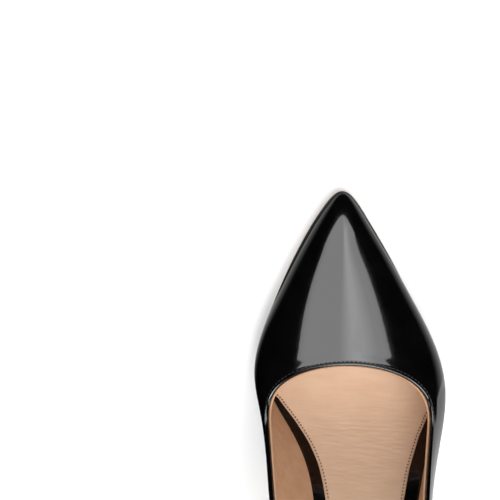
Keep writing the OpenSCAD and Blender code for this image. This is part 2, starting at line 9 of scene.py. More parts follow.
import bmesh
import bpy
import numpy as np
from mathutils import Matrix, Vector


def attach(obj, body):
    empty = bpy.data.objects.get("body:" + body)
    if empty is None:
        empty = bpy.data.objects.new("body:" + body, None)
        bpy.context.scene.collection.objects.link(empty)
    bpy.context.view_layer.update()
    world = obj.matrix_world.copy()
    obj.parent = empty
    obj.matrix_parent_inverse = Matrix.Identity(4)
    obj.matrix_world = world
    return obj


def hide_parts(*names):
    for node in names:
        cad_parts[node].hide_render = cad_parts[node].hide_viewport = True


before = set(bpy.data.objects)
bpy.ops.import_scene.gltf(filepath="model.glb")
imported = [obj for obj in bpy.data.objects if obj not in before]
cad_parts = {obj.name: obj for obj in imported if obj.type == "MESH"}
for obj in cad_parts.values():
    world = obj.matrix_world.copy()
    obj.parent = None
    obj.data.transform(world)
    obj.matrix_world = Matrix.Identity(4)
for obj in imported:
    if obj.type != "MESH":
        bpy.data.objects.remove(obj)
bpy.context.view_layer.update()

# ---------------------------------------------------------------- the last, as in the CAD model
# Fifteen stations, 0 at the toe tip and LAST at the back of the heel. FEATHER is the line where the wall
# meets the sole, and RIDGE the middle line over the foot. LEAN, WALL_H and SHOULDER shape the wall between
# them. TOP is how far up the wall the top line lies. M is the medial side and L the lateral side.
LAST = 14
FEATHER_U = [-0.3, 4.2, 14, 28, 45, 62, 79, 96, 114, 134, 155, 177, 198, 213.5, 218.2]
FEATHER_M = [3.5, 8.4, 15.2, 22.8, 30.5, 36.3, 38, 25.6, 11.4, 9.6, 15, 23, 26.5, 18, 2]
FEATHER_L = [3.5, -1.4, -7.3, -15.8, -24.4, -32.6, -36.4, -34.4, -29.3, -24, -20.8, -20.6, -22.4, -14, 2]
LIFT = [4.4, 3.9, 2.9, 1.6, 0.6, 0, -0.3, 3, 15, 36, 57, 74, 84.5, 89, 90]
RIDGE_U = [3, 6.5, 15, 29, 45, 62, 79, 96, 114, 134, 152, 168, 180, 186, 188]
RIDGE_V = [3.5, 3.5, 3.5, 3.4, 3.2, 3, 2.9, 2.8, 2.6, 2.4, 2.2, 2, 2, 2, 2]
RIDGE_H = [3.9, 8.8, 14.8, 20.6, 27.6, 35.5, 44, 55, 66, 78, 84, 84, 78, 73, 71]
LEAN_M = [0.8, 1.2, 2.2, 3.5, 6, 10, 12.5, 18.5, 26, 26, 17, 8, 6, 6, 6]
LEAN_L = [0.8, 1.2, 2.2, 3.5, 6, 9.5, 12.6, 11.5, 8, 7.5, 8, 7, 6, 6, 6]
WALL_H = [3.6, 5.2, 8.2, 11.5, 14, 16, 18, 18, 16, 18, 22, 26, 27, 27, 27]
SHOULDER_M = [1.6, 2.3, 2.9, 7.4, 14.5, 20.5, 27, 40.5, 49, 47, 37, 28, 24, 22, 21]
SHOULDER_L = [1.6, 2.3, 2.8, 7.9, 14.9, 20.5, 27, 31, 34, 33, 31, 28, 24, 22, 21]
SHOULDER_DROP = [0, 0, 0, 0, 0, 0, 0, 2, 5, 4, 2, 0, 0, 0, 0]
TOP_M = [0.46, 0.46, 0.46, 0.46, 0.46, 0.46, 0.46, 0.5, 0.52, 0.5, 0.5, 0.495, 0.505, 0.527, 0.55]
TOP_L = [0.46, 0.46, 0.46, 0.46, 0.46, 0.46, 0.46, 0.5, 0.5, 0.5, 0.5, 0.495, 0.505, 0.527, 0.55]
# The throat's front and the station where the top line becomes straight
THROAT_S, THROAT_END_S, THROAT_POWER = 5.5, 7.0, 2.1
# Millimetres per station along the shoe, and from the feather line over to the ridge
STATION_PITCH, ARC_L = 17.0, 90.0

OUTSOLE_T, TREAD_FLAT = 2.4, 0.4
SOLE_RISE = OUTSOLE_T - TREAD_FLAT
# Depths under the upper's face, and heights off the sole's profile, at which layers start or end
LEATHER_D, LINING_D, INSIDE_D = 1.2, 2.1, 2.9
MARGIN_H, INSOLE_H, WRAP_H, SOCK_H, TOP_H = 1.2, 2.0, 6.0, 6.8, 7.8


def pick(a, b, k):
    """Entry k of list a; past either end the outline goes on along the other side, list b."""
    n = LAST
    inside = a[np.clip(k, 0, n)]
    return np.where(k < 0, b[np.clip(-k, 0, n)], np.where(k > n, b[np.clip(2 * n - k, 0, n)], inside))


def spline(a, b, s):
    """Uniform cubic B-spline through the stations of one side, closed over the ends by the other side."""
    a, b, s = np.asarray(a, float), np.asarray(b, float), np.clip(np.asarray(s, float), 0, LAST)
    i = np.minimum(np.floor(s).astype(int), LAST - 1)
    t = s - i
    return ((1 - t) ** 3 * pick(a, b, i - 1) + (3 * t ** 3 - 6 * t ** 2 + 4) * pick(a, b, i)
            + (-3 * t ** 3 + 3 * t ** 2 + 3 * t + 1) * pick(a, b, i + 1) + t ** 3 * pick(a, b, i + 2)) / 6


def along(a, s):
    return spline(a, a, s)


def across(m, l, s, side):
    return np.where(side > 0, spline(m, l, s), spline(l, m, s))


def feather(s, side):
    return np.stack([across(FEATHER_M, FEATHER_L, s, side), along(FEATHER_U, s),
                     SOLE_RISE + along(LIFT, s)], -1)


def ridge(s):
    z = SOLE_RISE + along(LIFT, s) + along(RIDGE_H, s)
    return np.stack([along(RIDGE_V, s), along(RIDGE_U, s), z], -1)


def outward(s, side):
    """Level direction away from the ridge, at the feather line."""
    d = (feather(s, side) - ridge(s)) * [1, 1, 0]
    return d / np.linalg.norm(d, axis=-1, keepdims=True)


def face(s, t, side):
    """Outer face of the upper: t is 0 on the feather line and 1 on the ridge over the foot."""
    s, t, side = np.broadcast_arrays(np.asarray(s, float), np.asarray(t, float), np.asarray(side))
    f, r, d = feather(s, side), ridge(s), outward(s, side)
    up = np.array([0, 0, 1.0])
    reach = across(SHOULDER_M, SHOULDER_L, s, side)
    a, b = ridge(s), ridge(np.minimum(s + 0.001, LAST))
    slope = np.where(s >= 7, 0, (b[..., 2] - a[..., 2]) / (b[..., 1] - a[..., 1] + 1e-9))
    drop = slope * d[..., 1] * reach - along(SHOULDER_DROP, s)
    wall = f + d * across(LEAN_M, LEAN_L, s, side)[..., None] + up * along(WALL_H, s)[..., None]
    shoulder = r + d * reach[..., None] + up * drop[..., None]
    t = t[..., None]
    q = 1 - t
    return q ** 3 * f + 3 * t * q * q * wall + 3 * t * t * q * shoulder + t ** 3 * r


def face_normal(s, t, side):
    e = 0.01
    ds = face(np.minimum(s + e, LAST), t, side) - face(np.maximum(s - e, 0), t, side)
    dt = face(s, np.minimum(t + e, 1), side) - face(s, np.maximum(t - e, 0), side)
    n = np.cross(ds, dt) * np.asarray(side)[..., None]
    return n / np.linalg.norm(n, axis=-1, keepdims=True)


def paring(s):
    """Share of the full thickness, less at the pointed toe."""
    return np.minimum(1, 0.55 + 0.15 * np.asarray(s, float))


def layer_point(s, t, side, depth):
    """A point under the upper's outer face."""
    return face(s, t, side) - np.asarray(depth * paring(s))[..., None] * face_normal(s, t, side)


def shifted(s, drop):
    """Station moved toward the toe, so that a line below the top line also keeps clear of the throat."""
    s = np.asarray(s, float)
    fade = np.where(s < THROAT_S, (s / THROAT_S) ** 4, np.minimum(1, (LAST - s) / (LAST - THROAT_END_S)))
    return s - drop / STATION_PITCH * fade


def top_edge(s, side, drop):
    """How far up the wall the top line lies, less a drop below it."""
    x = np.clip((s - THROAT_S) / (THROAT_END_S - THROAT_S), 0, 1)
    g = np.sqrt(np.maximum(0, 1 - (1 - x) ** THROAT_POWER))
    quarter = across(TOP_M, TOP_L, s, side) - drop / ARC_L
    return 1 - (1 - quarter) * g


SOLE_S = np.linspace(0, LAST, 561)
SOLE_U, SOLE_Z = along(FEATHER_U, SOLE_S), SOLE_RISE + along(LIFT, SOLE_S)


def sole_z(u):
    return np.interp(u, SOLE_U, SOLE_Z)


def sole_normal(s):
    """Normal of the sole profile, in the plane of length and height."""
    e = 0.01
    s1, s2 = np.maximum(s - e, 0), np.minimum(s + e, LAST)
    du = along(FEATHER_U, s2) - along(FEATHER_U, s1)
    dz = along(LIFT, s2) - along(LIFT, s1)
    length = np.hypot(du, dz)
    return np.stack([0 * du, -dz / length, du / length], -1)


# The frame's origin is under the middle of the shoe's length and width
WIDE_S, WIDE_T = np.arange(4.5, 8.01, 0.25)[:, None], np.arange(0.05, 0.61, 0.05)
ORIGIN_X = float(face(WIDE_S, WIDE_T, 1)[..., 0].max() + face(WIDE_S, WIDE_T, -1)[..., 0].min()) / 2
ORIGIN_U = float(face(LAST, np.arange(0, 0.61, 0.025), 1)[:, 1].max() + along(FEATHER_U, 0) - 1.2) / 2


def to_frame(p):
    p = np.asarray(p, float)
    return (p - [ORIGIN_X, ORIGIN_U, 0]) / 1000


# ---------------------------------------------------------------- meshes
def make_mesh(name, points, faces, material, node=None, smooth=True):
    """A piece from points in millimetres; it rides the root and may stand for a CAD node."""
    mesh = bpy.data.meshes.new(name)
    mesh.from_pydata([tuple(p) for p in to_frame(points)], [], [tuple(int(i) for i in f) for f in faces])
    mesh.validate()
    mesh.update()
    piece = bpy.data.objects.new(name, mesh)
    bpy.context.scene.collection.objects.link(piece)
    mesh.materials.append(material)
    mesh.polygons.foreach_set("use_smooth", [smooth] * len(mesh.polygons))
    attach(piece, "root")
    if node:
        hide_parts(*([node] if isinstance(node, str) else node))
    return piece


def grid_faces(rows, columns, closed_rows=False, closed_columns=False, start=0, flip=False):
    """Quads of a grid of points stored row after row."""
    out = []
    for i in range(rows if closed_rows else rows - 1):
        for j in range(columns if closed_columns else columns - 1):
            k, l = (i + 1) % rows, (j + 1) % columns
            q = [start + a * columns + b for a, b in ((i, j), (k, j), (k, l), (i, l))]
            out.append(q[::-1] if flip else q)
    return out


# ---------------------------------------------------------------- wall layers
def fine_stations():
    front = THROAT_S * np.linspace(0, 1, 64)[:-1] ** 1.25
    throat = THROAT_S + (THROAT_END_S - THROAT_S) * np.linspace(0, 1, 42)[:-1] ** 2
    rear = THROAT_END_S + (LAST - THROAT_END_S) * (1 - (1 - np.linspace(0, 1, 150)) ** 1.35)
    return np.concatenate([front, throat, rear])


STATIONS = fine_stations()


def ring_columns():
    inner = STATIONS[(STATIONS > 0) & (STATIONS < LAST)][::-1]
    return np.concatenate([STATIONS, inner]), np.concatenate([np.ones(len(STATIONS)), -np.ones(len(inner))])


def toe_columns(end):
    a, b = STATIONS[STATIONS <= end][::-1], STATIONS[(STATIONS > 0) & (STATIONS <= end)]
    return np.concatenate([a, b]), np.concatenate([-np.ones(len(a)), np.ones(len(b))])


def heel_columns(start):
    a, b = STATIONS[STATIONS >= start], STATIONS[(STATIONS >= start) & (STATIONS < LAST)][::-1]
    return np.concatenate([a, b]), np.concatenate([np.ones(len(a)), -np.ones(len(b))])


def side_columns(start, end, side):
    a = STATIONS[(STATIONS >= start) & (STATIONS <= end)]
    a = a if side > 0 else a[::-1]
    return a, np.full(len(a), float(side))


def column_grid(s, side, depth, h, margin, low, drop, rows):
    """Points of one face of a layer, as columns by rows: lasted margin, foot corner, then up the wall."""
    k = shifted(s, drop)
    out, normal = outward(k, side), sole_normal(k)
    thin = paring(k)[:, None]
    grid = []
    if margin:
        f, r = feather(k, side), ridge(k)
        width = np.minimum(margin + depth * thin[:, 0], 0.5 * np.hypot(*(f - r)[:, :2].T))
        p = f - out * width[:, None]
        p[:, 2] = sole_z(p[:, 1])
        grid.append(p + normal * h)
    if low is None:
        grid.append(feather(k, side) - out * depth * thin + normal * h)
        low = 1 / along(WALL_H, k)
    top = top_edge(s, side, drop)
    for j in range(rows + 1):
        t = low + (top - low) * j / rows
        p = layer_point(k, t, side, depth)
        if j == rows:
            # On the ridge both sides share one normal
            one = np.ones(len(k))
            n = face_normal(k, one, one) + face_normal(k, one, -one)
            n /= np.maximum(np.linalg.norm(n, axis=1, keepdims=True), 1e-9)
            p = np.where((s <= THROAT_S)[:, None], ridge(k) - depth * thin * n, p)
        grid.append(p)
    return np.stack(grid, 1)


def band_rows(s, side, drops, depths):
    """Rows of points that run parallel to the top line, for the columns behind the throat's front."""
    grid = []
    for drop, depth in zip(drops, depths):
        k = shifted(s, drop)
        grid.append(layer_point(k, top_edge(s, side, drop), side, depth))
    return np.stack(grid, 1)


def layer(name, columns, d0, d1, h0, h1, margin, low, drop, closed, rows, material, node,
          band=(), dents=(), crown=0.0):
    """A closed shell between two depths. band and dents add rows along the top line, at those drops and
    with those extra depths on the outer face; crown rounds the top edge."""
    s, side = columns
    n = len(s)
    outer = column_grid(s, side, d0, h0, margin, low, drop, rows)
    inner = column_grid(s, side, d1, h1, margin, low, drop, rows)
    m = outer.shape[1]
    first = {(round(float(a), 9)): i for i, (a, b) in enumerate(zip(s, side)) if b > 0}
    twin = [first.get(round(float(a), 9), i) if b < 0 and a <= THROAT_S else i
            for i, (a, b) in enumerate(zip(s, side))]
    points = [outer.reshape(-1, 3), inner.reshape(-1, 3)]

    def ident(i, j, f):
        return (twin[i % n] if j == m - 1 else i % n) * m + j + f * n * m

    faces = []
    steps = n if closed else n - 1
    for i in range(steps):
        for j in range(m - 1):
            faces.append([ident(i, j, 0), ident(i + 1, j, 0), ident(i + 1, j + 1, 0), ident(i, j + 1, 0)])
            faces.append([ident(i, j, 1), ident(i, j + 1, 1), ident(i + 1, j + 1, 1), ident(i + 1, j, 1)])
        faces.append([ident(i, 0, 0), ident(i, 0, 1), ident(i + 1, 0, 1), ident(i + 1, 0, 0)])
    if not closed:
        for j in range(m - 1):
            faces.append([ident(0, j, 0), ident(0, j + 1, 0), ident(0, j + 1, 1), ident(0, j, 1)])
            z = n - 1
            faces.append([ident(z, j, 0), ident(z, j, 1), ident(z, j + 1, 1), ident(z, j + 1, 0)])
    # The open part of the top edge, as pairs of columns
    edge = [(i, (i + 1) % n) for i in range(steps) if max(s[i], s[(i + 1) % n]) > THROAT_S + 1e-9]
    top0 = {i: ident(i, m - 1, 0) for e in edge for i in e}
    top1 = {i: ident(i, m - 1, 1) for e in edge for i in e}
    count = 2 * n * m
    if len(band):
        keep = sorted(set(twin[i] for e in edge for i in e))
        for f, top, depths in ((0, top0, d0 + np.asarray(dents)), (1, top1, np.full(len(band), float(d1)))):
            rows_up = band_rows(s[keep], side[keep], band, depths)
            points.append(rows_up.reshape(-1, 3))
            place = {i: a for a, i in enumerate(keep)}
            for a, b in edge:
                ia, ib = place[twin[a]], place[twin[b]]
                below = [top[a], top[b]]
                for r in range(len(band)):
                    above = [count + ia * len(band) + r, count + ib * len(band) + r]
                    quad = [below[0], below[1], above[1], above[0]]
                    faces.append(quad if f == 0 else quad[::-1])
                    below = above
            for i in list(top):
                top[i] = count + place[twin[i]] * len(band) + len(band) - 1
            count += len(keep) * len(band)
    stacked = np.concatenate(points)
    if crown:
        ids = sorted(set(top0.values()))
        pair = {top0[i]: top1[i] for i in top0}
        middle = np.array([(stacked[a] + stacked[pair[a]]) / 2 + [0, 0, crown] for a in ids])
        where = {a: count + k for k, a in enumerate(ids)}
        stacked = np.concatenate([stacked, middle])
        for a, b in edge:
            faces.append([top0[a], top0[b], where[top0[b]], where[top0[a]]])
            faces.append([where[top0[a]], where[top0[b]], top1[b], top1[a]])
    else:
        faces += [[top0[a], top0[b], top1[b], top1[a]] for a, b in edge]
    faces = [[q for k, q in enumerate(f) if q != f[k - 1]] for f in faces]
    piece = make_mesh(name, stacked, [f for f in faces if len(f) > 2], material, node)
    drop_loose(piece)
    return piece


def drop_loose(piece):
    """Removes points that no face uses and turns every face outward."""
    bm = bmesh.new()
    bm.from_mesh(piece.data)
    bmesh.ops.delete(bm, geom=[v for v in bm.verts if not v.link_faces], context="VERTS")
    bmesh.ops.remove_doubles(bm, verts=bm.verts, dist=1e-7)
    bmesh.ops.recalc_face_normals(bm, faces=bm.faces)
    bm.to_mesh(piece.data)
    bm.free()


def topline_columns(count):
    """Stations and sides evenly spaced by length along the top line, from the throat round the heel."""
    half = np.concatenate([THROAT_S + (THROAT_END_S - THROAT_S) * np.linspace(0, 1, 400)[:-1] ** 2,
                           np.linspace(THROAT_END_S, LAST, 1200)])
    s = np.concatenate([half, half[::-1][1:]])
    side = np.concatenate([np.ones(len(half)), -np.ones(len(half) - 1)])
    p = layer_point(s, top_edge(s, side, 0), side, 0)
    length = np.concatenate([[0], np.cumsum(np.linalg.norm(np.diff(p, axis=0), axis=1))])
    at = np.arange(count) * length[-1] / count
    signed = np.where(side > 0, s, 2 * LAST - s)
    q = np.interp(at, length, signed)
    return np.where(q <= LAST, q, 2 * LAST - q), np.where(q <= LAST, 1.0, -1.0), length[-1]


def topline_point(s, side, drop, depth):
    return layer_point(shifted(s, drop), top_edge(s, side, drop), side, depth)


# ---------------------------------------------------------------- bottom layers
def level(h):
    """Length and height of the sole profile, h off the feather line."""
    n = sole_normal(SOLE_S)
    return SOLE_U + h * n[:, 1], SOLE_Z + h * n[:, 2]


def wall_point(s, side, h0, h1, gap):
    """Plan point against the inner face of the wall between two levels, less a gap."""
    tilt = sole_normal(s)[:, 2]
    best = None
    for h in (h0, h1):
        a, b = np.zeros(len(s)), np.full(len(s), 0.5)
        for _ in range(14):
            m = (a + b) / 2
            low = layer_point(s, m, side, INSIDE_D)[:, 2] - feather(s, side)[:, 2] < h / tilt
            a, b = np.where(low, m, a), np.where(low, b, m)
        p = layer_point(s, (a + b) / 2, side, INSIDE_D)
        best = p if best is None else np.where((side * p[:, 0] < side * best[:, 0])[:, None], p, best)
    return (best - outward(s, side) * np.reshape(gap, (-1, 1)))[:, :2]


STRIP_FRONT_S, BED_BACK_S, SOCK_FRONT_S, BREAST_S = 6.3, 13.9, 2.2, 10.7
BED_GAP = 0.15
# Station and width of the strip of cover that shows beside the sock
STRIP_M = np.array([[STRIP_FRONT_S, 0], [6.36, 1.4], [6.5, 2.8], [7, 4.6], [7.5, 5.8], [8, 6.3], [9, 6.2],
                    [11, 5], [13.7, 4]])
STRIP_L = np.array([[6.5, 0], [6.85, 2.6], [7.35, 4.8], [8, 6.1], [9.5, 6.2], [11.5, 5.5],
                    [13.7, 4.8]])


def strip_w(s, side):
    """Width of the strip of cover that shows beside the sock."""
    table = STRIP_M if side > 0 else STRIP_L
    return np.interp(s, table[:, 0], table[:, 1])


def smooth(x):
    x = np.clip(x, 0, 1)
    return x * x * (3 - 2 * x)


class Ripples:
    """Smooth noise from a few waves; stretch sets how much longer it is across the foot than along it."""

    def __init__(self, seed, shortest, longest, stretch, waves=40):
        rng = np.random.default_rng(seed)
        size = np.exp(rng.uniform(math.log(shortest), math.log(longest), waves))
        angle = rng.normal(0, 1, waves)
        self.ku = 2 * math.pi / size * np.cos(angle * 0.15)
        self.kx = 2 * math.pi / (size * stretch) * angle
        self.phase = rng.uniform(0, 2 * math.pi, waves)
        self.weight = (size / longest) ** 0.7
        self.weight /= np.sqrt((self.weight ** 2).sum() / 2)

    def __call__(self, x, u):
        x, u = np.asarray(x, float), np.asarray(u, float)
        waves = np.sin(self.kx * x[..., None] + self.ku * u[..., None] + self.phase)
        return (waves * self.weight).sum(-1)


def slab(name, s, edge_m, edge_l, h_low, h_top, near, top, low, material, node, slot, middle=28,
         ground=False):
    """A closed flat layer. near lists distances from the edge; top and low give the height of either face
    from (distance to the edge, side, station, x, u), on top of its level."""
    width = np.linalg.norm(edge_m - edge_l, axis=1)
    near = np.asarray(near, float)
    reach = near[-1]
    squeeze = np.minimum(1, width / (2.6 * reach + 1e-9))[:, None]
    e_m = near[None] * squeeze
    between = np.linspace(0, 1, middle + 2)[1:-1][None]
    mid = (reach * squeeze) + (width[:, None] - 2 * reach * squeeze) * between
    from_m = np.concatenate([e_m, mid, width[:, None] - e_m[:, ::-1]], 1)
    w = from_m / np.maximum(width[:, None], 1e-9)
    plan = edge_m[:, None] * (1 - w[..., None]) + edge_l[:, None] * w[..., None]
    side = np.where(w < 0.5, 1, -1)
    e = np.minimum(from_m, width[:, None] - from_m)
    n, m = e.shape
    stations = np.broadcast_to(s[:, None], e.shape)
    x, u = plan[..., 0], plan[..., 1]
    sheets = []
    for h, shape in ((h_top, top), (h_low, low)):
        lu, lz = level(h)
        z = np.interp(u, lu, lz) + shape(e, side, stations, x, u)
        sheets.append(np.stack([x, u, np.maximum(z, 0) if ground else z], -1).reshape(-1, 3))
    faces = grid_faces(n, m) + grid_faces(n, m, start=n * m, flip=True)
    for i in range(n - 1):
        for j in (0, m - 1):
            a, b = i * m + j, (i + 1) * m + j
            faces.append([a, b, n * m + b, n * m + a] if j else [b, a, n * m + a, n * m + b])
    for j in range(m - 1):
        for i in (0, n - 1):
            a, b = i * m + j, i * m + j + 1
            faces.append([a, b, n * m + b, n * m + a])
    piece = make_mesh(name, np.concatenate(sheets), faces, material, node)
    drop_loose(piece)
    return piece


def sock_edge(s, side, inset=0.0):
    return wall_point(s, side, SOCK_H, TOP_H, BED_GAP + strip_w(s, side) + inset)


def flat(e, side, s, x, u):
    return np.zeros(e.shape)


FLEX = Ripples(3, 0.9, 2.4, 6.0, 60)
FINE = Ripples(5, 2.5, 8.0, 4.0)


def sock_top(e, side, s, x, u):
    """Rounded edge, a pressed line under the stitches, a soft crown, and creases where the foot bends."""
    open_edge = smooth(np.where(side > 0, strip_w(s, 1), strip_w(s, -1)) / 1.2)
    edge = -0.55 * (1 - smooth(e / 0.55)) * (0.3 + 0.7 * open_edge)
    seam = -0.2 * np.exp(-((e - SOCK_SEAM_INSET) / 0.26) ** 2) * open_edge
    crown = 0.3 * smooth(e / 9)
    creases = (0.25 + smooth((u - 82) / 14)) * (1 - 0.8 * smooth((u - 128) / 20)) * smooth(e / 4)
    return edge + seam + crown + 0.011 * FLEX(x, u) * creases + 0.012 * FINE(x, u) * smooth(e / 2)


def cover_top(e, side, s, x, u):
    return -0.35 * (1 - smooth(e / 0.5)) + 0.012 * FLEX(x * 2, u * 0.6)


def outsole_top(e, side, s, x, u):
    return -0.25 * (1 - smooth(e / 0.4))


def outsole_low(e, side, s, x, u):
    return 0.55 * (1 - smooth(e / 0.8)) + 0.01 * FLEX(x, u * 0.4)


# ---------------------------------------------------------------- heel
TIP_W, TIP_L, TOP_PIECE_H, HEEL_COVER_T = 9.5, 9.5, 6.5, 0.9
SEAT_FRONT, SEAT_BACK = float(along(FEATHER_U, BREAST_S)), float(along(FEATHER_U, LAST))
SEAT_WIDE_S = 12.3
SEAT_R = float(spline(FEATHER_M, FEATHER_L, SEAT_WIDE_S))
SEAT_L = float(spline(FEATHER_L, FEATHER_M, SEAT_WIDE_S))
SEAT_X, SEAT_HALF_W = (SEAT_R + SEAT_L) / 2, (SEAT_R - SEAT_L) / 2
TIP_BACK = SEAT_BACK - 10
TIP_FRONT = TIP_BACK - TIP_L


def heel_ring(q, inset, count):
    """A ring of the heel at level q, 0 at the seat and 1 at the top piece, with rounded corners."""
    half = np.linspace(BREAST_S, LAST, 70)
    s = np.concatenate([half, half[::-1][1:]])
    side = np.concatenate([np.ones(70), -np.ones(69)])
    f = feather(s, side)
    a = (f[:, 1] - SEAT_FRONT) / (SEAT_BACK - SEAT_FRONT)
    w = (f[:, 0] - SEAT_X) / SEAT_HALF_W
    front = TIP_FRONT + (SEAT_FRONT - TIP_FRONT) * (1 - q) ** 3 + inset
    back = TIP_BACK + (SEAT_BACK - TIP_BACK) * (1 - q) ** 1.6 - inset
    half_w = TIP_W / 2 + (SEAT_HALF_W - TIP_W / 2) * (1 - q) ** 2.6 - inset
    seat_u = SEAT_FRONT + inset + (SEAT_BACK - SEAT_FRONT - 2 * inset) * a
    height = sole_z(seat_u) * (1 - q) + TOP_PIECE_H * q
    p = np.stack([SEAT_X + w * half_w, front + (back - front) * a, height], 1)
    breast = p[-1] + (p[0] - p[-1]) * np.linspace(0, 1, 26)[1:-1, None]
    hollow = smooth(q / 0.12) * (1 - smooth((q - 0.8) / 0.2))
    breast[:, 1] += 0.9 * hollow * np.sin(np.pi * np.linspace(0, 1, 26)[1:-1])
    ring = np.concatenate([p, breast])
    loop = np.concatenate([ring, ring[:1]])
    length = np.concatenate([[0], np.cumsum(np.linalg.norm(np.diff(loop, axis=0), axis=1))])
    at = np.arange(count) * length[-1] / count
    ring = np.stack([np.interp(at, length, loop[:, k]) for k in range(3)], 1)
    kernel = [1, 4, 6, 4, 1]
    for _ in range(2):
        ring = sum(k * np.roll(ring, i - 2, 0) for i, k in enumerate(kernel)) / sum(kernel)
    return ring


def tube_shell(name, outer, inner, material, node):
    """A closed skin between two stacks of rings of the same counts."""
    n, m = outer.shape[:2]
    faces = grid_faces(n, m, closed_columns=True)
    faces += grid_faces(n, m, closed_columns=True, start=n * m, flip=True)
    for j in range(m):
        k = (j + 1) % m
        faces.append([j, k, n * m + k, n * m + j])
        faces.append([(n - 1) * m + k, (n - 1) * m + j, (2 * n - 1) * m + j, (2 * n - 1) * m + k])
    points = np.concatenate([outer.reshape(-1, 3), inner.reshape(-1, 3)])
    piece = make_mesh(name, points, faces, material, node)
    drop_loose(piece)
    return piece


def ring_stack(name, rings, material, node):
    """A closed solid from a stack of rings, with flat ends."""
    n, m = rings.shape[:2]
    faces = grid_faces(n, m, closed_columns=True)
    faces += [list(range(m))[::-1], list(range((n - 1) * m, n * m))]
    piece = make_mesh(name, rings.reshape(-1, 3), faces, material, node)
    drop_loose(piece)
    return piece


# ---------------------------------------------------------------- thread
def stitches(name, points, outs, length, radius, material, node):
    """One bead of thread per point, along the line of points and half sunk at its ends."""
    points, outs = np.asarray(points), np.asarray(outs)
    runs = np.gradient(points, axis=0)
    runs /= np.linalg.norm(runs, axis=1, keepdims=True)
    outs = outs - runs * (outs * runs).sum(1, keepdims=True)
    outs /= np.linalg.norm(outs, axis=1, keepdims=True)
    sides = np.cross(runs, outs)
    along_t = np.array([-1, -0.86, -0.5, 0, 0.5, 0.86, 1])
    thick = radius * np.sqrt(np.maximum(0.02, 1 - along_t ** 4))
    sink = -0.55 * radius * along_t ** 2
    around = np.arange(8) * math.pi / 4
    rng = np.random.default_rng(9)
    verts, faces = [], []
    for p, r, o, a in zip(points, runs, outs, sides):
        turn = rng.normal(0, 0.05)
        r2 = r * math.cos(turn) + a * math.sin(turn)
        first = len(verts)
        size = length * (1 + rng.normal(0, 0.03))
        for t, k, z in zip(along_t, thick, sink):
            centre = p + r2 * t * size / 2 + o * z
            verts += [centre + k * (a * math.cos(b) + o * math.sin(b)) for b in around]
        faces += grid_faces(7, 8, closed_columns=True, start=first)
        faces += [[first + j for j in range(8)][::-1], [first + 48 + j for j in range(8)]]
    piece = make_mesh(name, verts, faces, material, node)
    drop_loose(piece)
    return piece


# ---------------------------------------------------------------- materials
class Shader:
    """A material with a Principled shader, and short ways to add procedural colour and relief."""

    def __init__(self, name, color, roughness, **sockets):
        self.material = bpy.data.materials.new(name)
        self.material.use_nodes = True
        self.tree = self.material.node_tree
        self.main = self.tree.nodes["Principled BSDF"]
        self.main.inputs["Base Color"].default_value = (*color, 1)
        self.main.inputs["Roughness"].default_value = roughness
        for key, value in sockets.items():
            self.main.inputs[key.replace("_", " ")].default_value = value
        self.place = self.tree.nodes.new("ShaderNodeTexCoord").outputs["Object"]
        self.relief = None

    def link(self, a, b):
        self.tree.links.new(a, b)

    def stretched(self, scale):
        node = self.tree.nodes.new("ShaderNodeMapping")
        node.inputs["Scale"].default_value = scale
        self.link(self.place, node.inputs["Vector"])
        return node.outputs["Vector"]

    def noise(self, size_mm, detail=3, stretch=(1, 1, 1), distortion=0.0):
        node = self.tree.nodes.new("ShaderNodeTexNoise")
        node.inputs["Scale"].default_value = 1000 / size_mm
        node.inputs["Detail"].default_value = detail
        node.inputs["Distortion"].default_value = distortion
        self.link(self.stretched(stretch), node.inputs["Vector"])
        return node.outputs["Fac"]

    def cells(self, size_mm, feature="F1", stretch=(1, 1, 1)):
        node = self.tree.nodes.new("ShaderNodeTexVoronoi")
        node.feature = feature
        node.inputs["Scale"].default_value = 1000 / size_mm
        self.link(self.stretched(stretch), node.inputs["Vector"])
        return node.outputs["Distance"]

    def ramp(self, value, stops):
        node = self.tree.nodes.new("ShaderNodeValToRGB")
        while len(node.color_ramp.elements) < len(stops):
            node.color_ramp.elements.new(0.5)
        for element, (at, color) in zip(node.color_ramp.elements, stops):
            element.position = at
            element.color = (*color, 1) if isinstance(color, tuple) else (color, color, color, 1)
        self.link(value, node.inputs["Fac"])
        return node.outputs["Color"]

    def tint(self, value, stops):
        self.link(self.ramp(value, stops), self.main.inputs["Base Color"])
        return self

    def rough(self, value, low, high):
        self.link(self.ramp(value, [(0.3, low), (0.7, high)]), self.main.inputs["Roughness"])
        return self

    def bump(self, value, depth_mm, strength=1.0):
        node = self.tree.nodes.new("ShaderNodeBump")
        node.inputs["Strength"].default_value = strength
        node.inputs["Distance"].default_value = depth_mm / 1000
        self.link(value, node.inputs["Height"])
        if self.relief:
            self.link(self.relief, node.inputs["Normal"])
        self.relief = node.outputs["Normal"]
        self.link(self.relief, self.main.inputs["Normal"])
        return self


def patent_leather(name, coat):
    m = Shader(name, (0.0015, 0.0015, 0.0016), 0.14, Coat_Weight=coat, Coat_Roughness=0.03, Coat_IOR=1.5)
    m.tint(m.noise(9, 2), [(0.3, (0.001, 0.001, 0.0011)), (0.7, (0.002, 0.002, 0.0021))])
    m.bump(m.noise(7, 2), 0.03)
    m.bump(m.noise(0.9, 2), 0.0012)
    return m.material


def sock_leather():
    m = Shader("sock_leather", (0.6, 0.4, 0.27), 0.5, Specular_IOR_Level=0.35)
    m.tint(m.noise(5, 5, (0.5, 1, 1)), [(0.25, (0.56, 0.37, 0.245)), (0.75, (0.62, 0.425, 0.29))])
    m.rough(m.noise(2.0, 4), 0.42, 0.6)
    m.bump(m.noise(1.1, 3, (0.16, 1, 1), 0.4), 0.06)
    m.bump(m.cells(0.35), 0.012)
    return m.material


